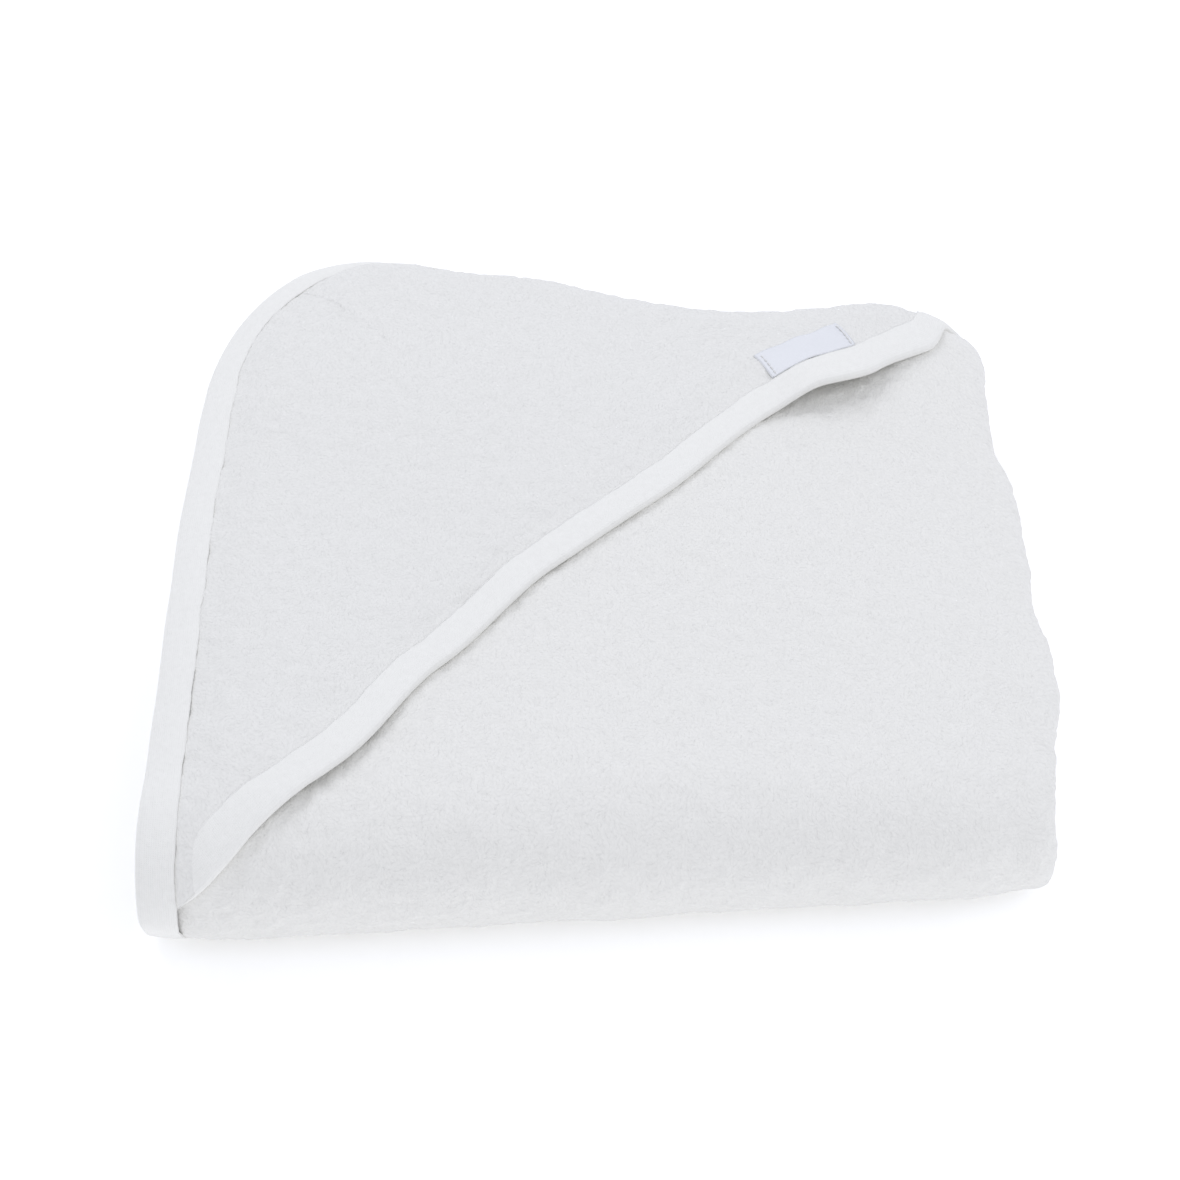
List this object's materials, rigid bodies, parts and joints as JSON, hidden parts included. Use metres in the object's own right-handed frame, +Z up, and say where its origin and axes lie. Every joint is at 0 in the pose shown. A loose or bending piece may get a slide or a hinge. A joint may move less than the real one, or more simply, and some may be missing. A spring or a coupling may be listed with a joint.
{
  "type": "hooded baby towel",
  "caption": "Hooded baby towel in plush terry with a bound edge and a bound corner hood, folded into a plump square stack with the hood on top.",
  "frame": {"origin": "bottom centre of the folded stack, on the floor it lies on", "axes": "+Z up through the stack, +X to the right along the front fold, +Y back towards the hood's corner edge; the hood's corner is at -X +Y"},
  "size_m": [0.29, 0.3138, 0.0675],
  "materials": {
    "terry": "looped cotton terry pile, matt",
    "hood_terry": "looped cotton terry pile, matt, slightly shorter than the towel's",
    "binding": "smooth single jersey tape, matt",
    "thread": "polyester sewing thread, slight lustre",
    "label": "woven satin label, soft sheen"
  },
  "bodies": {
    "root": {"towel_panel": "terry", "hood_panel": "hood_terry", "edge_binding": "binding", "hood_binding": "binding", "edge_needle_thread": "thread", "edge_bobbin_thread": "thread", "hood_needle_thread": "thread", "hood_label": "label", "label_thread_left": "thread", "label_thread_right": "thread"}
  },
  "joints": []
}
